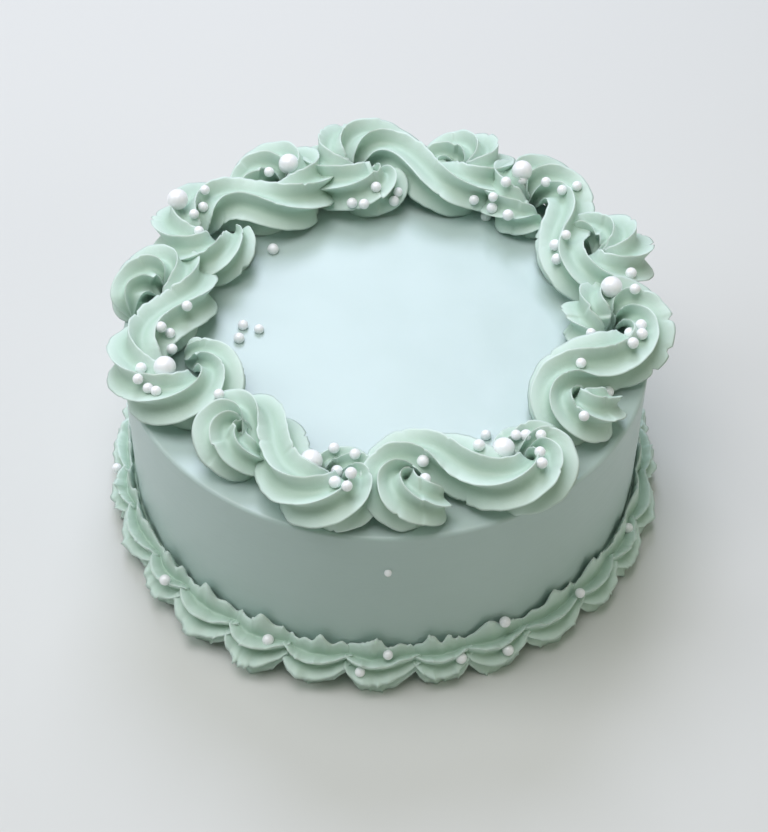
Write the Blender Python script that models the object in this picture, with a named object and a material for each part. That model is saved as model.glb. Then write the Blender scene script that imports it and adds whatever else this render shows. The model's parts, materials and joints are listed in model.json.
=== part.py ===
# Round layer cake in smooth buttercream, with seven piped S-scrolls round the top edge,
# a piped shell border round the foot, and sugar pearls in two sizes.
# Metres, +Z up. The origin is the middle of the cake's foot, so the cake stands on Z = 0.
# Azimuths are counter-clockwise from +X, seen from above; the cake's front faces -Y.

import math
import random
from collections import namedtuple

import bmesh
import bpy
from mathutils import Vector
from mathutils.bvhtree import BVHTree

MM = 0.001
GAP = 0.3 * MM

# Iced body
CAKE_RADIUS = 100.0 * MM
CAKE_HEIGHT = 78.0 * MM
RIM_ROUNDING = 1.5 * MM
BODY_SEGMENTS = 60
RIM_STEPS = 2

# Piped rope of the scrolls: a six-pointed star, laid while the tip keeps its own direction
STAR_POINTS = 6
STAR_VALLEY = 0.58
RIDGE_SHARPNESS = 1.3
ROPE_HALF_WIDTH = 11.2 * MM
ROPE_HALF_HEIGHT = 11.0 * MM
ROPE_TOP = 20.5 * MM
ROPE_TWIST = 1.0
ROPE_STAYS_TALL = 0.6
ROPE_STEP = 9.5 * MM
PATH_STEP = 0.8 * MM
ROPE_STRETCHES = 3
STRETCH_OVERLAP = 0.35
STRETCH_SHRINK = 0.94
SECTION_POINTS = 12

# Space kept for the next scroll's head: a flat disc with an arc down its outer side
HEAD_SPACE_SEGMENTS = 20
HEAD_SPACE_STEPS = 4
HEAD_SPACE_FROM = math.radians(-30.0)
HEAD_SPACE_FOOT = 0.9

# Scroll ring: each scroll is a head curl and a tail curl joined by a crossing. The bends are
# eased over a length to each side, and the curls are drawn in a little towards the ring.
HAND_EASE = 17.0 * MM
CURL_DEPTH = 0.88
RING_RADIUS = 84.0 * MM
TAIL_TURN = math.radians(310.0)
HEAD_START_SIZE = 0.7
HEAD_GROWN = 0.4
HEAD_UNCURLED = 0.6
TAIL_END_SIZE = 0.45
TAIL_END_RADIUS = 0.5

# Each curl has its middle at an azimuth and a distance from the cake's axis. An open head
# begins at its full radius and leaves a hole in its curl, and a closed one begins near its
# middle and fills it. A tail keeps its full size up to a share of its turn, then tapers.
Scroll = namedtuple("Scroll", "head head_ring head_radius head_turn head_start "
                    "tail tail_ring tail_radius tail_taper")
SCROLLS = [
    Scroll(math.radians(231.5), 78.5 * MM, 11.0 * MM, math.radians(300.0), 0.75,
           math.radians(257.0), 80.5 * MM, 15.5 * MM, 0.15),
    Scroll(math.radians(280.0), 84.0 * MM, 15.0 * MM, math.radians(275.0), 0.42,
           math.radians(304.0), 84.0 * MM, 15.0 * MM, 0.2),
    Scroll(math.radians(332.5), 84.0 * MM, 15.0 * MM, math.radians(255.0), 0.42,
           math.radians(356.5), 86.0 * MM, 15.0 * MM, 0.3),
    Scroll(math.radians(24.5), 90.0 * MM, 15.5 * MM, math.radians(335.0), 0.85,
           math.radians(48.5), 88.5 * MM, 15.5 * MM, 0.5),
    Scroll(math.radians(71.5), 91.0 * MM, 14.5 * MM, math.radians(310.0), 0.8,
           math.radians(96.5), 87.5 * MM, 17.0 * MM, 0.85),
    Scroll(math.radians(121.0), 86.0 * MM, 15.0 * MM, math.radians(330.0), 0.9,
           math.radians(145.0), 81.0 * MM, 18.0 * MM, 0.6),
    Scroll(math.radians(173.0), 86.0 * MM, 14.0 * MM, math.radians(250.0), 1.0,
           math.radians(199.0), 79.5 * MM, 19.5 * MM, 0.6),
]

# Shell border round the foot
SHELL_COUNT = 28
SHELL_OUT = 11.0 * MM
SHELL_BROAD = 6.0 * MM
SHELL_BROAD_AT = math.radians(240.0)
SHELL_BROAD_ARC = math.radians(24.0)
SHELL_TALL = 20.0 * MM
SHELL_AXIS_OUT = 1.0 * MM
SHELL_AXIS_HEIGHT = 8.5 * MM
SHELL_POINTS = 8
SHELL_VALLEY = 0.74
SHELL_TOP = math.radians(90.0)
SHELL_WALL_SIDE = math.radians(125.0)
SHELL_SAG = math.radians(14.0)
SHELL_ENDS = 0.62
SHELL_ARCH = 0.7
SHELL_SECTIONS = 5
SHELL_FINS = 4
SHELL_UNEVEN = 0.12
SHELL_GAP = 1.2 * GAP
SHELL_WALL_GAP = 1.5 * GAP

# Sugar pearls
SMALL_PEARL = 2.1 * MM
LARGE_PEARL = 4.1 * MM
PEARL_SINK = 0.35
CLUSTER_SIZE = 4
CLUSTER_RADIUS = 9.0 * MM
CLUSTER_ARC = math.radians(230.0)
PEARL_SHELL_STEP = 3
SHELL_PEARL_OUT = 0.72
SHELL_PEARL_HEIGHT = 0.62

# Large pearls on the scrolls, as (azimuth, distance from the middle)
LARGE_PEARLS = [
    (math.radians(251.7), 80.9 * MM),
    (math.radians(301.2), 80.9 * MM),
    (math.radians(5.5), 84.8 * MM),
    (math.radians(54.5), 91.8 * MM),
    (math.radians(116.7), 88.4 * MM),
    (math.radians(147.3), 97.2 * MM),
    (math.radians(204.4), 87.3 * MM),
]

# Small pearls that rolled on to the cake's top, as (azimuth, distance from the middle)
LOOSE_PEARLS = [
    (math.radians(170.0), 50.0 * MM),
    (math.radians(177.0), 53.0 * MM),
    (math.radians(171.0), 58.0 * MM),
    (math.radians(134.0), 60.0 * MM),
]

SEED = 7


def srgb(value):
    """Turn one sRGB channel from 0 to 255 into linear light."""
    c = value / 255.0
    return c / 12.92 if c <= 0.04045 else ((c + 0.055) / 1.055) ** 2.4


def make_material(name, rgb, roughness):
    """A Principled material of one colour."""
    material = bpy.data.materials.new(name)
    material.use_nodes = True
    shader = material.node_tree.nodes["Principled BSDF"]
    shader.inputs["Base Color"].default_value = [srgb(v) for v in rgb] + [1.0]
    shader.inputs["Roughness"].default_value = roughness
    shader.inputs["Metallic"].default_value = 0.0
    return material


def clear_scene():
    """Remove every object of the scene the script starts in."""
    for old in list(bpy.data.objects):
        bpy.data.objects.remove(old, do_unlink=True)


def make_object(name, bm, material=None):
    """Turn a bmesh into an object of the scene, smooth except at sharp ridges."""
    mesh = bpy.data.meshes.new(name)
    bmesh.ops.recalc_face_normals(bm, faces=bm.faces)
    bm.to_mesh(mesh)
    bm.free()
    mesh.shade_smooth()
    mesh.set_sharp_from_angle(angle=math.radians(40.0))
    if material:
        mesh.materials.append(material)
    obj = bpy.data.objects.new(name, mesh)
    bpy.context.scene.collection.objects.link(obj)
    return obj


def largest_body(bm):
    """Keep the largest body of a bmesh and drop scraps, also those that touch it at an edge."""
    left = set(bm.faces)
    bodies = []
    while left:
        body = {left.pop()}
        edge_of_body = list(body)
        while edge_of_body:
            face = edge_of_body.pop()
            for edge in face.edges:
                for other in edge.link_faces:
                    if len(edge.link_faces) == 2 and other in left:
                        left.remove(other)
                        body.add(other)
                        edge_of_body.append(other)
        bodies.append(body)
    bodies.sort(key=len)
    for scrap in bodies[:-1]:
        bmesh.ops.delete(bm, geom=list(scrap), context="FACES")


def apply_boolean(obj, operation, others):
    """Join others to an object, or cut them from it, and remove them."""
    group = bpy.data.collections.new(obj.name + "_" + operation.lower())
    for other in others:
        group.objects.link(other)
    modifier = obj.modifiers.new("Boolean", "BOOLEAN")
    modifier.operation = operation
    modifier.operand_type = "COLLECTION"
    modifier.collection = group
    modifier.solver = "MANIFOLD"
    graph = bpy.context.evaluated_depsgraph_get()
    mesh = bpy.data.meshes.new_from_object(obj.evaluated_get(graph))
    obj.modifiers.clear()
    obj.data = mesh
    for other in others:
        bpy.data.objects.remove(other, do_unlink=True)
    bpy.data.collections.remove(group)


def clean_solid(obj):
    """Split the faces into triangles and drop the loose scraps that a Boolean left."""
    bm = bmesh.new()
    bm.from_mesh(obj.data)
    largest_body(bm)
    bmesh.ops.triangulate(bm, faces=bm.faces)
    largest_body(bm)
    bm.to_mesh(obj.data)
    bm.free()
    obj.data.shade_smooth()
    obj.data.set_sharp_from_angle(angle=math.radians(40.0))


def star_radius(angle, points, valley):
    """Radius of a piping star at an angle: cusps of radius 1 over rounded valleys."""
    ridge = 1.0 - abs(math.sin(points * angle / 2.0))
    return valley + (1.0 - valley) * ridge ** RIDGE_SHARPNESS


def sweep_rings(rings):
    """Closed solid through rings of points: the first and last close on their middles."""
    bm = bmesh.new()
    count = len(rings[0])
    ring = bmesh.ops.create_circle(bm, segments=count, radius=1.0, cap_ends=False)["verts"]
    for vert, place in zip(ring, rings[0]):
        vert.co = place
    start = list(ring)
    for places in rings[1:]:
        edges = [bm.edges.get((ring[i - 1], ring[i])) for i in range(count)]
        new = bmesh.ops.extrude_edge_only(bm, edges=edges)["geom"]
        fresh = {v for v in new if isinstance(v, bmesh.types.BMVert)}
        ring = [next(e.other_vert(v) for e in v.link_edges if e.other_vert(v) in fresh) for v in ring]
        for vert, place in zip(ring, places):
            vert.co = place
    for end in (start, ring):
        edges = [bm.edges.get((end[i - 1], end[i])) for i in range(count)]
        new = bmesh.ops.extrude_edge_only(bm, edges=edges)["geom"]
        tip = [v for v in new if isinstance(v, bmesh.types.BMVert)]
        middle = sum((v.co for v in tip), Vector()) / count
        bmesh.ops.pointmerge(bm, verts=tip, merge_co=middle)
    return bm


def polar(azimuth, radius):
    """Place on the floor plane at an azimuth and a distance from the cake's axis."""
    return Vector((radius * math.cos(azimuth), radius * math.sin(azimuth), 0.0))


def ease(t):
    """Smooth step from 0 to 1."""
    t = min(max(t, 0.0), 1.0)
    return t * t * (3.0 - 2.0 * t)


def eased_path(points):
    """The same path with its bends spread out, and drawn in a little towards its ring."""
    reach = round(HAND_EASE / PATH_STEP)
    eased = []
    for i, (place, size) in enumerate(points):
        near = min(reach, i, len(points) - 1 - i)
        weights = [math.cos(0.5 * math.pi * j / (near + 1)) ** 2 for j in range(-near, near + 1)]
        around = [points[i + j][0] for j in range(-near, near + 1)]
        middle = sum((w * p for w, p in zip(weights, around)), Vector()) / sum(weights)
        drawn_in = RING_RADIUS + (middle.length - RING_RADIUS) * CURL_DEPTH
        eased.append((middle.normalized() * drawn_in, size))
    return eased


def scroll_path(scroll):
    """Middle line of a scroll's rope as (place, size), from its head to its tail's tip.

    The head turns clockwise, seen from above, and the tail the other way. The crossing is the
    straight line that touches both circles, from the head's inner side to the tail's outer.
    """
    head = polar(scroll.head, scroll.head_ring)
    tail = polar(scroll.tail, scroll.tail_ring)
    between = tail - head
    touch = math.acos((scroll.head_radius + scroll.tail_radius) / between.length)
    leave = math.atan2(between.y, between.x) + touch
    points = []
    steps = round(scroll.head_radius * scroll.head_turn / PATH_STEP)
    for i in range(steps):
        t = i / steps
        uncurled = ease(t / HEAD_UNCURLED)
        radius = scroll.head_radius * (scroll.head_start + (1.0 - scroll.head_start) * uncurled)
        size = HEAD_START_SIZE + (1.0 - HEAD_START_SIZE) * ease(t / HEAD_GROWN)
        points.append((head + polar(leave + scroll.head_turn * (1.0 - t), radius), size))
    start = head + polar(leave, scroll.head_radius)
    end = tail - polar(leave, scroll.tail_radius)
    steps = round((end - start).length / PATH_STEP)
    for i in range(steps):
        points.append((start.lerp(end, i / steps), 1.0))
    steps = round(scroll.tail_radius * TAIL_TURN / PATH_STEP)
    for i in range(steps + 1):
        t = i / steps
        taper = ease((t - scroll.tail_taper) / (1.0 - scroll.tail_taper))
        radius = scroll.tail_radius * (1.0 - (1.0 - TAIL_END_RADIUS) * taper)
        size = 1.0 - (1.0 - TAIL_END_SIZE) * taper
        points.append((tail + polar(leave + math.pi + TAIL_TURN * t, radius), size))
    return eased_path(points)


def scroll_rope(scroll):
    """Rings of points along the star-shaped rope of one scroll.

    The star turns against the rope's heading, so the ridges wander round the rope as it bends.
    """
    path = scroll_path(scroll)
    last = len(path) - 1
    count = round(last * PATH_STEP / ROPE_STEP)
    rings = []
    heading = None
    for k in range(count + 1):
        i = round(last * k / count)
        middle, size = path[i]
        along = (path[min(i + 1, last)][0] - path[max(i - 1, 0)][0]).normalized()
        turned = math.atan2(along.y, along.x)
        if heading is not None:
            turned += round((heading - turned) / math.tau) * math.tau
        heading = turned
        side = Vector((-along.y, along.x, 0.0))
        phase = -ROPE_TWIST * heading
        tall = size ** ROPE_STAYS_TALL
        half_height = ROPE_HALF_HEIGHT * tall
        axis_z = CAKE_HEIGHT + GAP + ROPE_TOP * tall - half_height
        ring = []
        for j in range(SECTION_POINTS):
            angle = math.tau * j / SECTION_POINTS + phase
            radius = star_radius(angle - phase, STAR_POINTS, STAR_VALLEY)
            ring.append(middle + side * (ROPE_HALF_WIDTH * size * radius * math.cos(angle))
                        + Vector((0.0, 0.0, axis_z + half_height * radius * math.sin(angle))))
        rings.append(ring)
    return rings


def stretch_rings(rings, first, last):
    """Rings of one stretch of the rope, begun a little inside the stretch before it."""
    if first == 0:
        return rings[:last + 1]
    middle = sum(rings[first], Vector()) / len(rings[first])
    back = (sum(rings[first - 1], Vector()) / len(rings[first - 1]) - middle) * STRETCH_OVERLAP
    inner = [middle + back + (place - middle) * STRETCH_SHRINK for place in rings[first]]
    return [inner] + rings[first + 1:last + 1]


def make_rope(name, scroll, material):
    """The rope as one solid, joined from stretches too short to run into themselves."""
    rings = scroll_rope(scroll)
    ends = [round(i * (len(rings) - 1) / ROPE_STRETCHES) for i in range(ROPE_STRETCHES + 1)]
    stretches = [make_object(name, sweep_rings(stretch_rings(rings, first, last)), material)
                 for first, last in zip(ends, ends[1:])]
    apply_boolean(stretches[0], "UNION", stretches[1:])
    return stretches[0]


def add_ball(name, place, radius, subdivisions):
    """An icosphere of one pearl."""
    bm = bmesh.new()
    bmesh.ops.create_icosphere(bm, subdivisions=subdivisions, radius=radius)
    bmesh.ops.translate(bm, verts=bm.verts, vec=place)
    return make_object(name, bm)


def turned_solid(profile, segments):
    """Solid of revolution about Z from (radius, z) points that begin and end on the axis."""
    bm = bmesh.new()
    verts = [bm.verts.new((r, 0.0, z)) for r, z in profile]
    edges = [bm.edges.new(pair) for pair in zip(verts, verts[1:])]
    bmesh.ops.spin(bm, geom=verts + edges, cent=(0, 0, 0), axis=(0, 0, 1), angle=math.tau,
                   steps=segments, use_merge=True)
    bmesh.ops.remove_doubles(bm, verts=bm.verts, dist=0.01 * MM)
    return bm


def head_cutter(scroll):
    """Rounded disc of the space a scroll's head fills, a gap larger all round."""
    low = CAKE_HEIGHT - GAP
    middle = CAKE_HEIGHT + ROPE_TOP - ROPE_HALF_HEIGHT
    profile = [(0.0, low), (scroll.head_radius + ROPE_HALF_WIDTH * HEAD_SPACE_FOOT, low)]
    for i in range(HEAD_SPACE_STEPS + 1):
        angle = HEAD_SPACE_FROM + (math.radians(90.0) - HEAD_SPACE_FROM) * i / HEAD_SPACE_STEPS
        profile.append((scroll.head_radius + (ROPE_HALF_WIDTH + GAP) * math.cos(angle),
                        middle + (ROPE_HALF_HEIGHT + 2.0 * GAP) * math.sin(angle)))
    profile.append((0.0, CAKE_HEIGHT + ROPE_TOP + 2.0 * GAP))
    bm = turned_solid(profile, HEAD_SPACE_SEGMENTS)
    bmesh.ops.translate(bm, verts=bm.verts, vec=polar(scroll.head, scroll.head_ring))
    return make_object("head_space", bm)


def floor_cutter(height):
    """Block of everything below a height."""
    bm = bmesh.new()
    bmesh.ops.create_cube(bm, size=1.0)
    bmesh.ops.translate(bm, verts=bm.verts, vec=(0.0, 0.0, height - 0.5))
    return make_object("below", bm)


def surface_height(tree, x, y):
    """Height of the highest surface under a point, or None beside it."""
    hit = tree.ray_cast(Vector((x, y, 1.0)), Vector((0.0, 0.0, -1.0)))
    return hit[0].z if hit[0] is not None else None


def resting_place(tree, place, radius):
    """Middle of a pearl pressed into the surface under a place, or None off the rope."""
    height = surface_height(tree, place.x, place.y)
    if height is None or height < CAKE_HEIGHT + 2.0 * SMALL_PEARL:
        return None
    return Vector((place.x, place.y, height + radius * (1.0 - PEARL_SINK)))


def make_scroll(number, scroll, follower, large_places, icing, draw):
    """One scroll with its pearls, cut where the next scroll's head lies over it."""
    rope = make_rope("scroll_%d" % number, scroll, icing)
    tree = BVHTree.FromObject(rope, bpy.context.evaluated_depsgraph_get())
    tail = polar(scroll.tail, scroll.tail_ring)
    pearls = []
    for i in range(CLUSTER_SIZE):
        turn = CLUSTER_ARC * ((i + draw.uniform(-0.2, 0.2)) / (CLUSTER_SIZE - 1) - 0.5)
        out = CLUSTER_RADIUS * draw.uniform(0.75, 1.15)
        aside = tail + polar(scroll.tail + math.radians(90.0) - turn, out)
        place = resting_place(tree, aside, SMALL_PEARL)
        room = SMALL_PEARL + LARGE_PEARL + 2.0 * GAP
        if place and min((place - large).length for large in large_places) > room:
            pearls.append(add_ball("pearl", place, SMALL_PEARL, 1))
    if pearls:
        apply_boolean(rope, "UNION", pearls)
    cutters = [floor_cutter(CAKE_HEIGHT + GAP), head_cutter(follower)]
    for large in large_places:
        if tree.find_nearest(large)[3] < LARGE_PEARL + 2.0 * GAP:
            cutters.append(add_ball("socket", large, LARGE_PEARL + GAP, 2))
    apply_boolean(rope, "DIFFERENCE", cutters)
    clean_solid(rope)


def place_large_pearls(sugar):
    """The large pearls, each pressed into the highest rope under it. Returns their middles."""
    ropes = [make_rope("rope", scroll, None) for scroll in SCROLLS]
    graph = bpy.context.evaluated_depsgraph_get()
    trees = [BVHTree.FromObject(rope, graph) for rope in ropes]
    middles = []
    for i, (azimuth, radius) in enumerate(LARGE_PEARLS):
        places = [resting_place(tree, polar(azimuth, radius), LARGE_PEARL) for tree in trees]
        middle = max((place for place in places if place), key=lambda place: place.z)
        large = add_ball("large_pearl_%d" % (i + 1), middle, LARGE_PEARL, 2)
        large.data.materials.append(sugar)
        middles.append(middle)
    for rope in ropes:
        bpy.data.objects.remove(rope, do_unlink=True)
    return middles


def make_body(icing):
    """The iced cake, solid to its foot, with the few pearls that rolled on to its top."""
    profile = [(0.0, 0.0), (CAKE_RADIUS, 0.0)]
    for i in range(RIM_STEPS + 1):
        angle = math.radians(90.0) * i / RIM_STEPS
        profile.append((CAKE_RADIUS - RIM_ROUNDING * (1.0 - math.cos(angle)),
                        CAKE_HEIGHT - RIM_ROUNDING * (1.0 - math.sin(angle))))
    profile.append((0.0, CAKE_HEIGHT))
    body = make_object("iced_cake", turned_solid(profile, BODY_SEGMENTS), icing)
    height = CAKE_HEIGHT + SMALL_PEARL * (1.0 - PEARL_SINK)
    pearls = []
    for around, out in LOOSE_PEARLS:
        place = (out * math.cos(around), out * math.sin(around), height)
        pearls.append(add_ball("pearl", place, SMALL_PEARL, 1))
    apply_boolean(body, "UNION", pearls)
    clean_solid(body)


def shell_reach(azimuth):
    """How far a shell stands out from the wall: further at the front left, by a heavier hand.

    No shell reaches past those on the X and Y axes, so the cake is as wide one way as the other.
    """
    aside = ((azimuth - SHELL_BROAD_AT) / SHELL_BROAD_ARC) ** 2
    square = max(abs(math.cos(azimuth)), abs(math.sin(azimuth)))
    most = (CAKE_RADIUS + SHELL_OUT) / square - CAKE_RADIUS
    return min(SHELL_OUT + SHELL_BROAD * math.exp(-aside), most)


def shell_point(reach, angle, sag, size):
    """Distance from the cake's axis and height of a point of a shell's star section.

    The star is drawn in towards its middle where it would run into the wall or the floor.
    """
    star = star_radius(angle, SHELL_POINTS, SHELL_VALLEY) * size
    across = (reach - SHELL_AXIS_OUT) * star * math.cos(angle - sag)
    up = (SHELL_TALL - SHELL_AXIS_HEIGHT) * star * math.sin(angle - sag)
    to_wall = SHELL_WALL_GAP - SHELL_AXIS_OUT
    keep = 1.0
    if across < to_wall:
        keep = min(keep, to_wall / across)
    if up < -SHELL_AXIS_HEIGHT:
        keep = min(keep, -SHELL_AXIS_HEIGHT / up)
    return CAKE_RADIUS + SHELL_AXIS_OUT + across * keep, SHELL_AXIS_HEIGHT + up * keep


def shell_section(azimuth, size, sag):
    """Points of one section of a shell: its fins from the top down, and its back corner."""
    half_fin = math.pi / SHELL_POINTS
    reach = shell_reach(azimuth)
    profile = [shell_point(reach, SHELL_TOP - half_fin * j, sag, size)
               for j in range(2 * SHELL_FINS)]
    profile.append((CAKE_RADIUS + SHELL_WALL_GAP, 0.0))
    profile.append(shell_point(reach, SHELL_WALL_SIDE, 0.0, size))
    return [Vector((out * math.cos(azimuth), out * math.sin(azimuth), height))
            for out, height in profile]


def make_shell(number, icing, draw):
    """One piped shell of the foot border: fins that sag between its two pinched ends."""
    pitch = math.tau / SHELL_COUNT
    clear = SHELL_GAP / CAKE_RADIUS
    first = pitch * (number - 0.5) + clear / 2.0
    on_axis = number % (SHELL_COUNT // 4) == 0
    swell = 1.0 if on_axis else 1.0 - draw.uniform(0.0, SHELL_UNEVEN)
    rings = []
    for i in range(SHELL_SECTIONS):
        t = i / (SHELL_SECTIONS - 1)
        arch = math.sin(math.pi * t) ** SHELL_ARCH
        size = swell * (SHELL_ENDS + (1.0 - SHELL_ENDS) * arch)
        rings.append(shell_section(first + (pitch - clear) * t, size, SHELL_SAG * arch))
    shell = make_object("shell_%02d" % number, sweep_rings(rings), icing)
    if number % PEARL_SHELL_STEP == 0:
        around = first + pitch * draw.uniform(0.2, 0.3)
        out = CAKE_RADIUS + SHELL_OUT * SHELL_PEARL_OUT
        place = (out * math.cos(around), out * math.sin(around), SHELL_TALL * SHELL_PEARL_HEIGHT)
        apply_boolean(shell, "UNION", [add_ball("pearl", place, SMALL_PEARL, 1)])
        clean_solid(shell)


def main():
    clear_scene()
    draw = random.Random(SEED)
    icing = make_material("buttercream", (190, 214, 200), 0.5)
    piped = make_material("piped_buttercream", (176, 203, 187), 0.5)
    sugar = make_material("sugar_pearl", (240, 243, 244), 0.25)
    make_body(icing)
    large_places = place_large_pearls(sugar)
    for i, scroll in enumerate(SCROLLS):
        follower = SCROLLS[(i + 1) % len(SCROLLS)]
        make_scroll(i + 1, scroll, follower, large_places, piped, draw)
    for i in range(SHELL_COUNT):
        make_shell(i, piped, draw)


main()
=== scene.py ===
# Round layer cake in pale mint buttercream: a smoothed body, seven piped S-scrolls round the
# top edge, a border of piped shells round the foot, and white sugar pearls in two sizes.
# Metres, +Z up. Azimuths are counter-clockwise from +X, seen from above; the front is -Y.
import json
import math
import random
from collections import namedtuple

import bmesh
import bpy
from bpy.props import FloatProperty, FloatVectorProperty, PointerProperty
from mathutils import Matrix, Vector, noise
from mathutils.bvhtree import BVHTree

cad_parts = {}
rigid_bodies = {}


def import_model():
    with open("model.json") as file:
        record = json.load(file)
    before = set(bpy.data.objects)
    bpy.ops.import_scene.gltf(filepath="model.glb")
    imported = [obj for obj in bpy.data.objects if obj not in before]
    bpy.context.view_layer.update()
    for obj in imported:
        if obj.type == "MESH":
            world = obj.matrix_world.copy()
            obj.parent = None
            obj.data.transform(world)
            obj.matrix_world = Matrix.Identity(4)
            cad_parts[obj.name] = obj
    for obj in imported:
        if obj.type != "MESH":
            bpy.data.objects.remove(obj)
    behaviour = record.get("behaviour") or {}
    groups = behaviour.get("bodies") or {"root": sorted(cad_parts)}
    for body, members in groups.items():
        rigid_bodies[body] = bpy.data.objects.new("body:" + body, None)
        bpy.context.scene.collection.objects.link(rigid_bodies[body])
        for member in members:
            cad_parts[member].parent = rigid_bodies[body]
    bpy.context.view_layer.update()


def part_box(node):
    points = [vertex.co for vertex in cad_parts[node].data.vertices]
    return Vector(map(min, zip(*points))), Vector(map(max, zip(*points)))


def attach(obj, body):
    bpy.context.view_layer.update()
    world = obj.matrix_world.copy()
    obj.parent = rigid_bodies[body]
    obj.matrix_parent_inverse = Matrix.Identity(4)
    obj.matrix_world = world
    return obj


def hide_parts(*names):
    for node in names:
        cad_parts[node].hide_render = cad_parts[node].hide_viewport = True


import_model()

bl_info = {
    "name": "Mint Buttercream Cake",
    "version": (1, 0, 0),
    "blender": (4, 5, 0),
    "location": "View3D > Sidebar > Cake",
    "description": "Pipes and dresses a round buttercream cake with scrolls, shells and sugar pearls",
    "category": "Add Mesh",
}

MM = 0.001
BODY_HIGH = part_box("iced_cake")[1]
SEED = 11
NOISE_SPREAD = 50.0

# Photograph: its size, the focal length and the shift of the lens in pixels
PHOTO_WIDTH = 768
PHOTO_HEIGHT = 832
FOCAL_PIXELS = 1953.0
LENS_SHIFT_PIXELS = (0.1, 54.0)

# Camera: it looks down on the cake from the front, aimed at the middle of the foot
SENSOR_MM = 36.0
CAMERA_DISTANCE = 0.8
CAMERA_ELEVATION = math.radians(48.8)
CAMERA_ROLL = math.radians(0.8)
CAMERA_TARGET = Vector((0.0, 0.0, 0.0003))

# Soft studio light: round area lights that all face one place inside the cake
Light = namedtuple("Light", "name azimuth elevation distance size watts colour")
LIGHTS = (
    Light("window", math.radians(96.0), math.radians(50.0), 1.4, 0.7, 10.5, "#E4E8FF"),
    Light("ceiling", math.radians(195.0), math.radians(80.0), 1.5, 1.2, 14.0, "#FFFAFF"),
    Light("wall_light", math.radians(178.0), math.radians(38.0), 1.6, 0.9, 5.8, "#F4F8FF"),
    Light("lamp", math.radians(335.0), math.radians(22.0), 1.6, 0.8, 2.2, "#FFF4E0"),
)
LIGHT_AIM = Vector((0.0, 0.0, 0.07))
SKY_COLOUR = "#DFF0DC"
SKY_STRENGTH = 0.24
FLOOR_HALF_WIDTH = 3.0

# Scroll ring: each scroll is a head curl and a tail curl joined by a crossing. Each curl has
# its middle at an azimuth and a distance from the cake's axis. A head begins at a share of its
# radius, near 1 where its curl stays open. A tail keeps its full size up to a share of its
# turn, then tapers. The small pearls lie where the photograph shows them.
Scroll = namedtuple("Scroll", "head head_ring head_radius head_turn head_start "
                    "tail tail_ring tail_radius tail_taper pearls")


def photo_pixels(*pairs):
    """Places in the photograph, in pixels from its top left corner."""
    return [Vector(pair) for pair in pairs]


SCROLLS = [
    Scroll(math.radians(231.5), 78.5 * MM, 11.0 * MM, math.radians(300.0), 0.75,
           math.radians(257.0), 80.5 * MM, 15.5 * MM, 0.15,
           photo_pixels((334, 448), (351, 473), (337, 471), (335, 482), (347, 486), (355, 454),
                        (219, 394))),
    Scroll(math.radians(280.0), 84.0 * MM, 15.0 * MM, math.radians(275.0), 0.42,
           math.radians(304.0), 84.0 * MM, 15.0 * MM, 0.2,
           photo_pixels((486, 435), (479, 445), (516, 435), (526, 435), (541, 435), (540, 452),
                        (542, 463), (423, 461), (425, 479))),
    Scroll(math.radians(332.5), 84.0 * MM, 15.0 * MM, math.radians(255.0), 0.42,
           math.radians(356.5), 86.0 * MM, 15.0 * MM, 0.7,
           photo_pixels((591, 333), (581, 363), (584, 416), (608, 392), (630, 333), (641, 325),
                        (642, 334), (633, 343))),
    Scroll(math.radians(24.5), 90.0 * MM, 15.5 * MM, math.radians(335.0), 0.85,
           math.radians(48.5), 88.5 * MM, 15.5 * MM, 0.5,
           photo_pixels((555, 245), (557, 259), (566, 235), (631, 273), (635, 289))),
    Scroll(math.radians(71.5), 91.0 * MM, 14.5 * MM, math.radians(310.0), 0.8,
           math.radians(96.5), 87.5 * MM, 17.0 * MM, 0.85,
           photo_pixels((506, 182), (522, 180), (546, 182), (562, 190), (474, 200), (577, 186),
                        (493, 197), (492, 208), (486, 216), (508, 215), (352, 203), (364, 204),
                        (376, 187), (398, 192), (394, 201))),
    Scroll(math.radians(121.0), 86.0 * MM, 15.0 * MM, math.radians(330.0), 0.9,
           math.radians(145.0), 81.0 * MM, 18.0 * MM, 0.6,
           photo_pixels((269, 172), (205, 190), (194, 214), (203, 207), (199, 231))),
    Scroll(math.radians(173.0), 86.0 * MM, 14.0 * MM, math.radians(250.0), 1.0,
           math.radians(199.0), 79.5 * MM, 19.5 * MM, 0.6,
           photo_pixels((172, 349), (161, 327), (187, 306), (170, 333), (141, 368),
                        (138, 379), (148, 388), (156, 391))),
]

# Path of a scroll: its bends are eased over a length to each side, and its curls are drawn in
# a little towards the ring. The rope grows over the first part of the head.
HAND_EASE = 17.0 * MM
CURL_DEPTH = 0.88
RING_RADIUS = 84.0 * MM
PATH_STEP = 0.8 * MM
HEAD_START_SIZE = 0.7
HEAD_GROWN = 0.4
HEAD_UNCURLED = 0.6
TAIL_TURN = math.radians(310.0)
TAIL_END_SIZE = 0.45
TAIL_END_RADIUS = 0.5

# Rope of the scrolls: a six-pointed star, laid while the tip keeps its own direction. It swells
# and shrinks a little along its length, and is drawn to a blunt tip at both ends.
STAR_POINTS = 6
STAR_VALLEY = 0.55
RIDGE_SHARPNESS = 1.45
POINTS_PER_FIN = 12
CUSP_CROWDING = 1.5
ROPE_TWIST = 1.0
ROPE_SINK = 0.6 * MM
ROPE_STAYS_TALL = 0.6
ROPE_END = 4.0 * MM
ROPE_END_SIZE = 0.05
ROPE_SWELL = 0.05
ROPE_SWELL_LENGTH = 14.0 * MM
ROPE_LINE_LENGTH = 6.0 * MM
ROPE_LINES = 36.0

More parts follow.
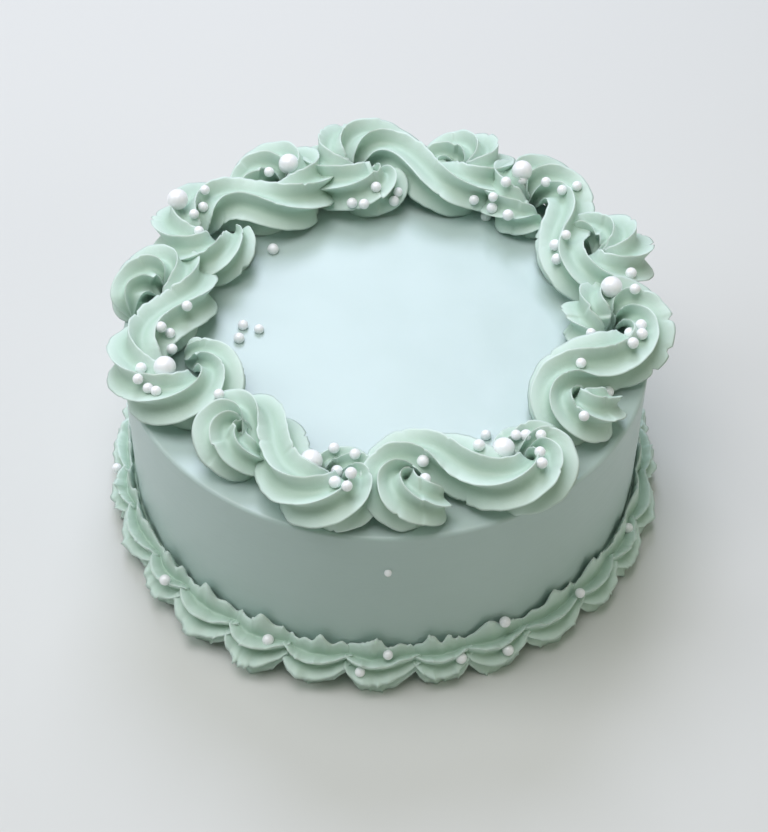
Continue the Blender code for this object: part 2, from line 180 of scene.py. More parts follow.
# Unevenness of a fin: the length over which it changes, the distance in the noise from one fin
# to the next, and the layer of the noise that it is read from. The rope's lengths are real, and
# a shell's are shares of the shell.
Unevenness = namedtuple("Unevenness", "length fin_step layer")
ROPE_WAVE = Unevenness(3.0 * MM, 7.3, 4.0)
ROPE_WAVE_DEPTH = 0.12
ROPE_TEAR = Unevenness(1.6 * MM, 3.1, 9.0)
ROPE_TEAR_FROM = 0.45
ROPE_TEAR_DEPTH = 1.2
SHELL_WAVE = Unevenness(1.0 / 7.0, 5.1, 2.0)
SHELL_WAVE_DEPTH = 0.35
SHELL_WAVE_TURN = 0.1
SHELL_TUFT = Unevenness(1.0 / 19.0, 9.7, 8.0)
SHELL_TUFT_FROM = 0.25
SHELL_TUFT_DEPTH = 0.6

# Shell border: an even ring, a little unsteady, whose shells stand out further at the front left
SHELL_COUNT = 28
SHELL_STRAY = 0.09
SHELL_OVERLAP = 0.06
SHELL_UNEVEN = 0.12
SHELL_BROAD = 6.0 * MM
SHELL_BROAD_AT = math.radians(240.0)
SHELL_BROAD_ARC = math.radians(24.0)

# Section of a shell: an eight-pointed star, turned a little, about an axis beside the wall.
# What would reach further into the wall than the sink is pressed flat.
SHELL_POINTS = 8
SHELL_VALLEY = 0.5
SHELL_RIDGE_SHARPNESS = 0.9
SHELL_AXIS_OUT = 2.0 * MM
SHELL_AXIS_HEIGHT = 8.0 * MM
SHELL_TURN = math.radians(12.0)
SHELL_SINK = 0.5 * MM
SHELL_AROUND = 96

# Length of a shell: it swells near its start, sags there, and rises towards its ends
SHELL_STEPS = 48
SHELL_ENDS = 0.36
SHELL_TIP = 0.02
SHELL_FAT = (0.7, 0.95)
SHELL_ARCH = 0.75
SHELL_SAG = math.radians(16.0)
SHELL_LIFT = 3.5 * MM
SHELL_LINES_ALONG = 4.0
SHELL_LINES_PER_RADIAN = 6.0

# Crown of a shell: its top fin rises beside the wall in one peak, and in a lower one past it
SHELL_CROWN = 0.9
SHELL_CROWN_FIN = 2
SHELL_CROWN_AT = (0.25, 0.6)
SHELL_CROWN_LENGTH = 0.13
SHELL_LOW_CROWN = 0.5
SHELL_LOW_CROWN_STEP = 0.32
SHELL_LOW_CROWN_LENGTH = 0.09

# Iced body: the steps of its half outline, and how unevenly the scraper left its surface
BODY_SEGMENTS = 240
FOOT_STEP = 1.0 * MM
WALL_FROM = 0.6 * MM
WALL_STEPS = 24
RIM_STEPS = 10
TOP_STEPS = 30
MERGE_DISTANCE = 0.02 * MM
FLAT_FOOT = 0.3 * MM
DRIFT_DEPTH = 0.35 * MM
BROAD_DRIFT = 38.0 * MM
FINE_DRIFT = 14.0 * MM
FINE_DRIFT_SHARE = 0.4
FINE_DRIFT_FLATNESS = 2.0

# Finish of the icing: the width of its mottling, the scraper's level streaks, and the specks of
# air in what is piped, which are drawn coarser than real ones so that they show
MOTTLE_WIDTH = 30.0 * MM
STREAK_LENGTH = 22.0 * MM
STREAK_FLATNESS = 14.0
STREAK_DEPTH = 0.5 * MM
AIR_WIDTH = 1.6 * MM
AIR_DEPTH = 0.2 * MM
DRAWN_LINE_DEPTH = 0.25 * MM

# Small pearls that lie on the cake's top and on the shells, and a tiny bead on the wall
TOP_PEARLS = photo_pixels((243, 325), (259, 329), (239, 338), (273, 249))
SHELL_PEARLS = photo_pixels((117, 468), (165, 580), (268, 640), (388, 655), (360, 672),
                            (461, 658), (508, 650), (505, 622), (580, 593), (628, 528))
WALL_BEAD = Vector((388, 573))
WALL_BEAD_SIZE = 0.65
WALL_BEAD_SINK = 0.6

# Shells of the side that the photograph hides which carry a pearl, the pearl's shift along the
# border in shells, its height as a share of a shell's, and the distance that it is aimed from
HIDDEN_PEARLS = (3, 6, 9, 12)
HIDDEN_PEARL_SHIFT = -0.25
HIDDEN_PEARL_HEIGHT = 0.6
HIDDEN_SIGHT_FROM = 3.0 * BODY_HIGH.x

# Pearls: how deep they are pressed in, how much they differ in size, and how round they are
PEARL_SINK = 0.35
FACING_LEAST = 0.45
PEARL_SIZES = (0.9, 1.08)
SMALL_PEARL_DETAIL = 3
LARGE_PEARL_DETAIL = 4


def linear(hex_colour):
    """Linear RGB and an alpha of 1 from an sRGB hex colour such as #C4DACD."""
    channels = [int(hex_colour[i:i + 2], 16) / 255.0 for i in (1, 3, 5)]
    light = [c / 12.92 if c <= 0.04045 else ((c + 0.055) / 1.055) ** 2.4 for c in channels]
    return (*light, 1.0)


def length_setting(name, description, metres):
    """A length that a user can change."""
    return FloatProperty(name=name, description=description, default=metres, min=0.0,
                         unit="LENGTH")


def colour_setting(name, description, hex_colour):
    """A colour that a user can change."""
    return FloatVectorProperty(name=name, description=description, subtype="COLOR", size=4,
                               min=0.0, max=1.0, default=linear(hex_colour))


class CakeSizes(bpy.types.PropertyGroup):
    """Sizes of the cake, its piping and its pearls."""
    body_radius: length_setting("Body radius", "Radius of the iced wall", BODY_HIGH.x)
    body_height: length_setting("Body height", "Height of the iced top", 78.0 * MM)
    rim: length_setting("Rim rounding", "Radius of the rounding between wall and top", 1.5 * MM)
    rope_half_width: length_setting("Rope half width", "Half width of the scrolls' rope",
                                    11.2 * MM)
    rope_half_height: length_setting("Rope half height", "Half height of the scrolls' rope",
                                     11.0 * MM)
    rope_top: length_setting("Rope top", "Height of the rope's ridges above the top", 20.5 * MM)
    shell_out: length_setting("Shell depth", "How far the shells stand out from the wall",
                              11.5 * MM)
    shell_tall: length_setting("Shell height", "Height of the shells", 20.0 * MM)
    small_pearl: length_setting("Small pearl", "Radius of the small sugar pearls", 2.1 * MM)
    large_pearl: length_setting("Large pearl", "Radius of the large sugar pearls", 4.1 * MM)


class CakeColours(bpy.types.PropertyGroup):
    """Colours of the icing and the pearls."""
    smooth: colour_setting("Smoothed icing", "Buttercream of the wall and the top", "#BBCECA")
    smooth_shade: colour_setting("Smoothed icing, darker", "Mottling of the same", "#B5C9C4")
    # Piped ridges: lighter partly as thinner icing and partly as painted light. Piped valleys: darker
    # as painted shade between the fins.
    ridge: colour_setting("Piped ridges", "Buttercream where it is drawn thin", "#D0E3DA")
    valley: colour_setting("Piped valleys", "Buttercream between the ridges", "#B0CAB9")
    pearl: colour_setting("Sugar pearl", "Polished sugar coat", "#FBFCFF")
    floor: colour_setting("Floor", "Plain pale ground", "#D3D4D1")


def add_node(tree, kind, inputs=None, **settings):
    """Add a shader node with its settings, its input values and its links."""
    node = tree.nodes.new(kind)
    for name, value in settings.items():
        setattr(node, name, value)
    for socket, value in (inputs or {}).items():
        if isinstance(value, bpy.types.NodeSocket):
            tree.links.new(value, node.inputs[socket])
        else:
            node.inputs[socket].default_value = value
    return node


def new_material(name):
    """An empty node material and its tree, with only an output."""
    material = bpy.data.materials.new(name)
    material.use_nodes = True
    material.node_tree.nodes.clear()
    output = material.node_tree.nodes.new("ShaderNodeOutputMaterial")
    return material, material.node_tree, output


def finish_piece(name, bm, material, slot_name, *nodes):
    """Turn a bmesh into a finished piece that rides on the cake and replaces its solids."""
    mesh = bpy.data.meshes.new(name)
    bm.to_mesh(mesh)
    bm.free()
    mesh.shade_smooth()
    mesh.materials.append(material)
    piece = bpy.data.objects.new(name, mesh)
    bpy.context.scene.collection.objects.link(piece)
    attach(piece, "root")
    if nodes:
        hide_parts(*nodes)


def smoothed_buttercream(colours):
    """Buttercream drawn smooth with a scraper: satin, a little translucent, faintly mottled."""
    material, tree, output = new_material("smoothed_buttercream")
    place = add_node(tree, "ShaderNodeTexCoord").outputs["Object"]
    mottle = add_node(tree, "ShaderNodeTexNoise",
                      {"Vector": place, "Scale": 1.0 / MOTTLE_WIDTH, "Detail": 4.0,
                       "Roughness": 0.6}).outputs["Fac"]
    colour = add_node(tree, "ShaderNodeMix",
                      {"Factor": mottle, "A": colours.smooth, "B": colours.smooth_shade},
                      data_type="RGBA")
    level = add_node(tree, "ShaderNodeMapping",
                     {"Vector": place, "Scale": (1.0, 1.0, STREAK_FLATNESS)}).outputs["Vector"]
    streaks = add_node(tree, "ShaderNodeTexNoise",
                       {"Vector": level, "Scale": 1.0 / STREAK_LENGTH, "Detail": 5.0,
                        "Roughness": 0.55}).outputs["Fac"]
    bump = add_node(tree, "ShaderNodeBump",
                    {"Height": streaks, "Strength": 0.35,
                     "Distance": STREAK_DEPTH}).outputs["Normal"]
    shader = add_node(tree, "ShaderNodeBsdfPrincipled",
                      {"Roughness": 0.35, "Normal": bump, "Subsurface Weight": 0.15,
                       "Subsurface Radius": (1.0, 1.0, 0.8), "Subsurface Scale": 3.0 * MM})
    tree.links.new(colour.outputs["Result"], shader.inputs["Base Color"])
    tree.links.new(shader.outputs["BSDF"], output.inputs["Surface"])
    return material


def piped_buttercream(colours):
    """Buttercream from a star tip: satin, with fine drawn lines, painted shade in its valleys, and
    ridges lighter partly as thinner icing and partly as painted light.

    The scrolls and the shells share it, so it is made once.
    """
    made = bpy.data.materials.get("star_tip_buttercream")
    if made:
        return made
    material, tree, output = new_material("star_tip_buttercream")
    ridge = add_node(tree, "ShaderNodeAttribute", attribute_name="ridge").outputs["Fac"]
    along = add_node(tree, "ShaderNodeAttribute", attribute_name="along").outputs["Fac"]
    around = add_node(tree, "ShaderNodeAttribute", attribute_name="around").outputs["Fac"]
    place = add_node(tree, "ShaderNodeTexCoord").outputs["Object"]
    # Colour from the ridge share: painted shade in the valleys, and ridges lighter partly as thinner
    # icing and partly as painted light
    colour = add_node(tree, "ShaderNodeMix",
                      {"Factor": ridge, "A": colours.valley, "B": colours.ridge},
                      data_type="RGBA")
    lines = add_node(tree, "ShaderNodeCombineXYZ", {"X": along, "Y": around}).outputs["Vector"]
    drawn = add_node(tree, "ShaderNodeTexNoise",
                     {"Vector": lines, "Scale": 1.0, "Detail": 3.0,
                      "Roughness": 0.5}).outputs["Fac"]
    air = add_node(tree, "ShaderNodeTexNoise",
                   {"Vector": place, "Scale": 1.0 / AIR_WIDTH, "Detail": 4.0}).outputs["Fac"]
    bump_lines = add_node(tree, "ShaderNodeBump",
                          {"Height": drawn, "Strength": 0.3, "Distance": DRAWN_LINE_DEPTH})
    bump = add_node(tree, "ShaderNodeBump",
                    {"Height": air, "Strength": 0.5, "Distance": AIR_DEPTH,
                     "Normal": bump_lines.outputs["Normal"]}).outputs["Normal"]
    shader = add_node(tree, "ShaderNodeBsdfPrincipled",
                      {"Roughness": 0.5, "Normal": bump, "Subsurface Weight": 0.12,
                       "Subsurface Radius": (1.0, 1.0, 0.8), "Subsurface Scale": 1.5 * MM})
    tree.links.new(colour.outputs["Result"], shader.inputs["Base Color"])
    tree.links.new(shader.outputs["BSDF"], output.inputs["Surface"])
    return material


def sugar_coat(colours):
    """Sugar pearl: a hard white coat, polished to a soft sheen."""
    material, tree, output = new_material("sugar_coat")
    shader = add_node(tree, "ShaderNodeBsdfPrincipled",
                      {"Base Color": colours.pearl, "Roughness": 0.28,
                       "Subsurface Weight": 0.2, "Subsurface Radius": (1.0, 1.0, 1.0),
                       "Subsurface Scale": 4.0 * MM, "Coat Weight": 0.6,
                       "Coat Roughness": 0.12, "Sheen Weight": 0.6,
                       "Sheen Roughness": 0.3})
    tree.links.new(shader.outputs["BSDF"], output.inputs["Surface"])
    return material


def matte_paper(colours):
    """Backdrop paper: pale and matte, without a pattern of its own."""
    material, tree, output = new_material("matte_paper")
    shader = add_node(tree, "ShaderNodeBsdfPrincipled",
                      {"Base Color": colours.floor, "Roughness": 0.9})
    tree.links.new(shader.outputs["BSDF"], output.inputs["Surface"])
    return material


def ease(t):
    """Smooth step from 0 to 1."""
    t = min(max(t, 0.0), 1.0)
    return t * t * (3.0 - 2.0 * t)


def polar(azimuth, radius):
    """Place on the floor plane at an azimuth and a distance from the cake's axis."""
    return Vector((radius * math.cos(azimuth), radius * math.sin(azimuth), 0.0))


def noise_place(draw):
    """A random place in the noise, so that no two pieces are uneven in the same way."""
    return Vector([draw.uniform(0.0, NOISE_SPREAD) for axis in range(3)])


def fin_noise(unevenness, start, along, fin):
    """Smooth noise along one fin, from about -1 to 1."""
    return noise.noise(start + Vector((along / unevenness.length, fin * unevenness.fin_step,
                                       unevenness.layer)))


def star_ridge(angle, points):
    """How much of a ridge a direction of the piping star is: 1 on a cusp, 0 in a valley."""
    return 1.0 - abs(math.sin(points * angle / 2.0))


def nearest_fin(angle, points):
    """Number of the star's fin that a direction belongs to."""
    return round(angle * points / math.tau) % points


def sweep(bm, rings):
    """Closed solid through rings of (place, ridge, along, around), its ends drawn to points."""
    layers = [bm.verts.layers.float.new(name) for name in ("ridge", "along", "around")]
    count = len(rings[0])

    def settle(vert, point):
        vert.co = point[0]
        for layer, value in zip(layers, point[1:]):
            vert[layer] = value

    ring = bmesh.ops.create_circle(bm, segments=count, radius=1.0, cap_ends=False)["verts"]
    for vert, point in zip(ring, rings[0]):
        settle(vert, point)
    start = list(ring)
    for points in rings[1:]:
        edges = [bm.edges.get((ring[i - 1], ring[i])) for i in range(count)]
        new = bmesh.ops.extrude_edge_only(bm, edges=edges)["geom"]
        fresh = {v for v in new if isinstance(v, bmesh.types.BMVert)}
        ring = [next(e.other_vert(v) for e in v.link_edges if e.other_vert(v) in fresh)
                for v in ring]
        for vert, point in zip(ring, points):
            settle(vert, point)
    for end in (start, ring):
        edges = [bm.edges.get((end[i - 1], end[i])) for i in range(count)]
        new = bmesh.ops.extrude_edge_only(bm, edges=edges)["geom"]
        tip = [v for v in new if isinstance(v, bmesh.types.BMVert)]
        middle = sum((v.co for v in tip), Vector()) / count
        bmesh.ops.pointmerge(bm, verts=tip, merge_co=middle)


def finish_piped(name, rings, material, node):
    """Sweep one piped piece through its rings and finish it."""
    bm = bmesh.new()
    sweep(bm, rings)
    bmesh.ops.recalc_face_normals(bm, faces=bm.faces)
    finish_piece(name, bm, material, "piped_buttercream", node)


def body_profile(sizes):
    """Half outline of the iced body from its foot's middle to its top's middle."""
    radius = sizes.body_radius
    profile = [(0.0, 0.0), (radius * 0.5, 0.0), (radius - FOOT_STEP, 0.0)]
    wall_high = sizes.body_height - sizes.rim - WALL_FROM
    for i in range(WALL_STEPS):
        profile.append((radius, WALL_FROM + wall_high * i / WALL_STEPS))
    for i in range(RIM_STEPS + 1):
        angle = math.radians(90.0) * i / RIM_STEPS
        profile.append((radius - sizes.rim * (1.0 - math.cos(angle)),
                        sizes.body_height - sizes.rim * (1.0 - math.sin(angle))))
    flat = radius - sizes.rim
    for i in range(1, TOP_STEPS + 1):
        profile.append((flat * (1.0 - i / TOP_STEPS), sizes.body_height))
    return profile


def scraper_drift(place):
    """How far the scraper left the icing proud at a place: broad swells and finer ones."""
    broad = noise.noise(place / BROAD_DRIFT)
    level = Vector((place.x, place.y, place.z * FINE_DRIFT_FLATNESS))
    fine = noise.noise(level / FINE_DRIFT)
    return DRIFT_DEPTH * (broad + FINE_DRIFT_SHARE * fine)


def ice_body(sizes, colours):
    """The iced cake: one smooth solid, a little uneven where the scraper passed."""
    bm = bmesh.new()
    verts = [bm.verts.new((r, 0.0, z)) for r, z in body_profile(sizes)]
    edges = [bm.edges.new(pair) for pair in zip(verts, verts[1:])]
    bmesh.ops.spin(bm, geom=verts + edges, cent=(0, 0, 0), axis=(0, 0, 1), angle=math.tau,
                   steps=BODY_SEGMENTS, use_merge=True)
    bmesh.ops.remove_doubles(bm, verts=bm.verts, dist=MERGE_DISTANCE)
    bmesh.ops.recalc_face_normals(bm, faces=bm.faces)
    for vert in bm.verts:
        if vert.co.z >= FLAT_FOOT:
            vert.co += vert.normal * scraper_drift(vert.co)
    finish_piece("iced_body", bm, smoothed_buttercream(colours), "buttercream", "iced_cake")


def eased_path(points):
    """The same path with its bends spread out, and drawn in a little towards its ring."""
    reach = round(HAND_EASE / PATH_STEP)
    eased = []
    for i, (place, size) in enumerate(points):
        near = min(reach, i, len(points) - 1 - i)
        weights = [math.cos(0.5 * math.pi * j / (near + 1)) ** 2 for j in range(-near, near + 1)]
        around = [points[i + j][0] for j in range(-near, near + 1)]
        middle = sum((w * p for w, p in zip(weights, around)), Vector()) / sum(weights)
        drawn_in = RING_RADIUS + (middle.length - RING_RADIUS) * CURL_DEPTH
        eased.append((middle.normalized() * drawn_in, size))
    return eased


def scroll_path(scroll):
    """Middle line of a scroll's rope as (place, size), from its head to its tail's tip.

    The head turns clockwise, seen from above, and the tail the other way. Before the bends are
    eased, the crossing is the straight line that touches both circles, from the head's inner
    side to the tail's outer.
    """
    head = polar(scroll.head, scroll.head_ring)
    tail = polar(scroll.tail, scroll.tail_ring)
    between = tail - head
    touch = math.acos((scroll.head_radius + scroll.tail_radius) / between.length)
    leave = math.atan2(between.y, between.x) + touch
    points = []
    steps = round(scroll.head_radius * scroll.head_turn / PATH_STEP)
    for i in range(steps):
        t = i / steps
        uncurled = ease(t / HEAD_UNCURLED)
        radius = scroll.head_radius * (scroll.head_start + (1.0 - scroll.head_start) * uncurled)
        size = HEAD_START_SIZE + (1.0 - HEAD_START_SIZE) * ease(t / HEAD_GROWN)
        points.append((head + polar(leave + scroll.head_turn * (1.0 - t), radius), size))
    start = head + polar(leave, scroll.head_radius)
    end = tail - polar(leave, scroll.tail_radius)
    steps = round((end - start).length / PATH_STEP)
    for i in range(steps):
        points.append((start.lerp(end, i / steps), 1.0))
    steps = round(scroll.tail_radius * TAIL_TURN / PATH_STEP)
    for i in range(steps + 1):
        t = i / steps
        taper = ease((t - scroll.tail_taper) / (1.0 - scroll.tail_taper))
        radius = scroll.tail_radius * (1.0 - (1.0 - TAIL_END_RADIUS) * taper)
        size = 1.0 - (1.0 - TAIL_END_SIZE) * taper
        points.append((tail + polar(leave + math.pi + TAIL_TURN * t, radius), size))
    return eased_path(points)


def fin_angles():
    """Directions round the star, closer together beside each cusp than in the valleys."""
    angles = []
    for fin in range(STAR_POINTS):
        for j in range(POINTS_PER_FIN):
            t = 2.0 * j / POINTS_PER_FIN - 1.0
            bent = math.copysign(1.0 - (1.0 - abs(t)) ** CUSP_CROWDING, t)
            angles.append(math.tau * (fin + 0.5 + 0.5 * bent) / STAR_POINTS)
    return angles


def rope_swell(run, length, start):
    """Share of its size that the rope has at a distance along it."""
    near_end = min(min(run, length - run) / ROPE_END, 1.0)
    rounding = math.sqrt(max(1.0 - (1.0 - near_end) ** 2, 0.0))
    swell = 1.0 + ROPE_SWELL * noise.noise(start + Vector((run / ROPE_SWELL_LENGTH, 0.0, 0.0)))
    return swell * max(rounding, ROPE_END_SIZE)


def rope_star(angle, run, start):
    """How much of a ridge a direction is at a distance along the rope, and its reach there."""
    ridge = star_ridge(angle, STAR_POINTS) ** RIDGE_SHARPNESS
    fin = nearest_fin(angle, STAR_POINTS)
    wave = ROPE_WAVE_DEPTH * fin_noise(ROPE_WAVE, start, run, fin)
    tear = ROPE_TEAR_DEPTH * max(fin_noise(ROPE_TEAR, start, run, fin) - ROPE_TEAR_FROM, 0.0)
    return ridge, STAR_VALLEY + (1.0 - STAR_VALLEY) * ridge * (1.0 + wave - tear)


def scroll_rings(scroll, sizes, draw):
    """Rings of (place, ridge, along, around) down the star-shaped rope of one scroll.

    The star turns against the rope's heading, so the ridges wander round the rope as it bends.
    """
    path = scroll_path(scroll)
    places = [place for place, size in path]
    angles = fin_angles()
    length = sum((b - a).length for a, b in zip(places, places[1:]))
    start = noise_place(draw)
    floor = sizes.body_height - ROPE_SINK
    rings = []
    heading = None
    run = 0.0
    for i, (middle, size) in enumerate(path):
        along = (places[min(i + 1, len(places) - 1)] - places[max(i - 1, 0)]).normalized()
        if i:
            run += (places[i] - places[i - 1]).length
        turned = math.atan2(along.y, along.x)
        if heading is not None:
            turned += round((heading - turned) / math.tau) * math.tau
        heading = turned
        side = Vector((-along.y, along.x, 0.0))
        size = size * rope_swell(run, length, start)
        tall = size ** ROPE_STAYS_TALL
        half_height = sizes.rope_half_height * tall
        half_width = sizes.rope_half_width * size
        axis_z = sizes.body_height + sizes.rope_top * tall - half_height
        ring = []
        for angle in angles:
            ridge, reach = rope_star(angle, run, start)
            turn = angle - ROPE_TWIST * heading
            place = middle + side * (half_width * reach * math.cos(turn))
            place.z = max(axis_z + half_height * reach * math.sin(turn), floor)
            ring.append((place, ridge, run / ROPE_LINE_LENGTH, angle * ROPE_LINES / math.tau))
        rings.append(ring)
    return rings


def pipe_scrolls(sizes, colours):
    """The seven scrolls of star-shaped rope, one piece each."""
    draw = random.Random(SEED)
    material = piped_buttercream(colours)
    for number, scroll in enumerate(SCROLLS, 1):
        finish_piped("piped_scroll_%d" % number, scroll_rings(scroll, sizes, draw), material,
                     "scroll_%d" % number)


def shell_edges(draw):
    """Azimuths where one shell ends and the next begins: an even ring, a little unsteady."""
    pitch = math.tau / SHELL_COUNT
    return [pitch * (i - 0.5 + draw.uniform(-SHELL_STRAY, SHELL_STRAY))
            for i in range(SHELL_COUNT)]


def shell_broader(azimuth):
    """How much further a shell stands out at the front left, by a heavier hand."""
    return SHELL_BROAD * math.exp(-((azimuth - SHELL_BROAD_AT) / SHELL_BROAD_ARC) ** 2)


def shell_crown(t, middle):
    """How far the top fin rises at a share of a shell's length."""
    peak = math.exp(-((t - middle) / SHELL_CROWN_LENGTH) ** 2)
    past = t - middle - SHELL_LOW_CROWN_STEP
    low_peak = SHELL_LOW_CROWN * math.exp(-(past / SHELL_LOW_CROWN_LENGTH) ** 2)
    return SHELL_CROWN * (peak + low_peak)


def shell_rings(first, last, sizes, draw):
    """Rings of one shell: stacked fins that sag between its fat start and its pinched end."""
    swell = 1.0 - draw.uniform(0.0, SHELL_UNEVEN)
    fat = draw.uniform(*SHELL_FAT)
    crown_middle = draw.uniform(*SHELL_CROWN_AT)
    start = noise_place(draw)
    half_up = (sizes.shell_tall - SHELL_AXIS_HEIGHT) * swell
    rings = []
    for i in range(SHELL_STEPS + 1):
        t = i / SHELL_STEPS
        inside = min(max(t, SHELL_TIP), 1.0 - SHELL_TIP)
        arch = math.sin(math.pi * inside ** fat) ** SHELL_ARCH
        size = SHELL_ENDS + (1.0 - SHELL_ENDS) * arch
        azimuth = first + (last - first) * t
        half_out = (sizes.shell_out + shell_broader(azimuth) - SHELL_AXIS_OUT) * swell
        axis_height = SHELL_AXIS_HEIGHT + SHELL_LIFT * (1.0 - arch)
        crown = shell_crown(t, crown_middle)
        ring = []
        for j in range(SHELL_AROUND):
            angle = math.tau * j / SHELL_AROUND
            ridge = star_ridge(angle, SHELL_POINTS) ** SHELL_RIDGE_SHARPNESS
            fin = nearest_fin(angle, SHELL_POINTS)
            wave = fin_noise(SHELL_WAVE, start, t, fin)
            tuft = max(fin_noise(SHELL_TUFT, start, t, fin) - SHELL_TUFT_FROM, 0.0)
            height = 1.0 + SHELL_WAVE_DEPTH * wave + SHELL_TUFT_DEPTH * tuft
            if fin == SHELL_CROWN_FIN:
                height += crown
            reach = (SHELL_VALLEY + (1.0 - SHELL_VALLEY) * ridge * height) * size
            turn = angle + SHELL_TURN - SHELL_SAG * arch + SHELL_WAVE_TURN * wave
            out = sizes.body_radius + SHELL_AXIS_OUT + half_out * reach * math.cos(turn)
            place = polar(azimuth, max(out, sizes.body_radius - SHELL_SINK))
            place.z = max(axis_height + half_up * reach * math.sin(turn), 0.0)
            ring.append((place, ridge, t * SHELL_LINES_ALONG, angle * SHELL_LINES_PER_RADIAN))
        rings.append(ring)
    return rings


def pipe_shells(sizes, colours):
    """The shell border round the foot, one piece for each shell."""
    draw = random.Random(SEED + 1)
    material = piped_buttercream(colours)
    edges = shell_edges(draw)
    edges.append(edges[0] + math.tau)
    overlap = math.tau / SHELL_COUNT * SHELL_OVERLAP
    for number in range(SHELL_COUNT):
        rings = shell_rings(edges[number] - overlap, edges[number + 1] + overlap, sizes, draw)
        finish_piped("piped_shell_%02d" % number, rings, material, "shell_%02d" % number)


def camera_matrix():
    """Where the photograph was taken from, looking at the cake's foot."""
    back = Vector((0.0, -math.cos(CAMERA_ELEVATION), math.sin(CAMERA_ELEVATION)))
    turn = (-back).to_track_quat("-Z", "Y").to_matrix().to_4x4()
    return (Matrix.Translation(CAMERA_TARGET + back * CAMERA_DISTANCE) @ turn
            @ Matrix.Rotation(CAMERA_ROLL, 4, "Z"))


def photo_ray(pixel):
    """Start and direction of the line of sight through a pixel of the photograph."""
    matrix = camera_matrix()
    across = (pixel.x - PHOTO_WIDTH / 2.0 + LENS_SHIFT_PIXELS[0]) / FOCAL_PIXELS
    down = (pixel.y - PHOTO_HEIGHT / 2.0 - LENS_SHIFT_PIXELS[1]) / FOCAL_PIXELS
    direction = matrix.to_3x3() @ Vector((across, -down, -1.0))
    return matrix.translation, direction.normalized()


def icing_tree():
    """Search tree of every piped and smoothed surface, for pearls to rest on."""
    bm = bmesh.new()
    for piece in bpy.data.objects:
        if piece.type == "MESH" and piece.name.startswith(("iced_body", "piped_")):
            bm.from_mesh(piece.data)
    tree = BVHTree.FromBMesh(bm)
    bm.free()
    return tree


def pressed_place(tree, start, sight, radius, sink=PEARL_SINK):
    """Middle of a pearl pressed into the icing where a line of sight first meets it."""
    hit, normal, index, distance = tree.ray_cast(start, sight)
    if hit is None:
        raise RuntimeError("no icing under a pearl seen from %s" % start)
    facing = max(abs(sight.dot(normal)), FACING_LEAST)
    return hit - sight * (radius * (1.0 - sink) / facing)


def hidden_shell_sight(number, height):
    """Start and direction of a level line towards a shell that the photograph hides."""
    azimuth = math.tau / SHELL_COUNT * (number + HIDDEN_PEARL_SHIFT)
    start = polar(azimuth, HIDDEN_SIGHT_FROM)
    start.z = height
    return start, -polar(azimuth, 1.0)


def add_pearl(bm, place, radius, detail):
    """One pearl in a bmesh."""
    ball = bmesh.ops.create_icosphere(bm, subdivisions=detail, radius=radius)["verts"]
    bmesh.ops.translate(bm, verts=ball, vec=place)


def set_small_pearls(sizes, material):
    """The small pearls and the bead on the wall, pressed in where they are seen, as one piece."""
    draw = random.Random(SEED + 2)
    tree = icing_tree()
    pixels = [pixel for scroll in SCROLLS for pixel in scroll.pearls] + TOP_PEARLS + SHELL_PEARLS
    sights = [photo_ray(pixel) for pixel in pixels]
    sights += [hidden_shell_sight(number, HIDDEN_PEARL_HEIGHT * sizes.shell_tall)
               for number in HIDDEN_PEARLS]
    bm = bmesh.new()
    for start, sight in sights:
        radius = sizes.small_pearl * draw.uniform(*PEARL_SIZES)
        add_pearl(bm, pressed_place(tree, start, sight, radius), radius, SMALL_PEARL_DETAIL)
    start, sight = photo_ray(WALL_BEAD)
    radius = sizes.small_pearl * WALL_BEAD_SIZE
    add_pearl(bm, pressed_place(tree, start, sight, radius, WALL_BEAD_SINK), radius,
              SMALL_PEARL_DETAIL)
    finish_piece("small_pearls", bm, material, "sugar_pearl")


def set_large_pearls(sizes, material):
    """The large pearls, one piece each, where the frame has them."""
    for number in range(1, len(SCROLLS) + 1):
        low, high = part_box("large_pearl_%d" % number)
        bm = bmesh.new()
        add_pearl(bm, (low + high) / 2.0, sizes.large_pearl, LARGE_PEARL_DETAIL)
        finish_piece("sugar_pearl_%d" % number, bm, material, "sugar_pearl",
                     "large_pearl_%d" % number)


def set_floor(colours):
    """Plain pale floor."""
    bm = bmesh.new()
    bmesh.ops.create_grid(bm, x_segments=1, y_segments=1, size=FLOOR_HALF_WIDTH)
    mesh = bpy.data.meshes.new("floor")
    bm.to_mesh(mesh)
    bm.free()
    mesh.materials.append(matte_paper(colours))
    floor = bpy.data.objects.new("floor", mesh)
    bpy.context.scene.collection.objects.link(floor)


def set_lights():
    """A faint even sky, and soft lights from a window behind, from above and from the sides."""
    world = bpy.data.worlds.new("studio")
    world.use_nodes = True
    sky = world.node_tree.nodes["Background"]
    sky.inputs["Color"].default_value = linear(SKY_COLOUR)
    sky.inputs["Strength"].default_value = SKY_STRENGTH
    bpy.context.scene.world = world
    for light in LIGHTS:
        data = bpy.data.lights.new(light.name, "AREA")
        data.shape = "DISK"
        data.size = light.size
        data.energy = light.watts
        data.color = linear(light.colour)[:3]
        towards = polar(light.azimuth, math.cos(light.elevation))
        towards.z = math.sin(light.elevation)
        lamp = bpy.data.objects.new(light.name, data)
        lamp.matrix_world = (Matrix.Translation(LIGHT_AIM + towards * light.distance)
                             @ (-towards).to_track_quat("-Z", "Y").to_matrix().to_4x4())
        bpy.context.scene.collection.objects.link(lamp)


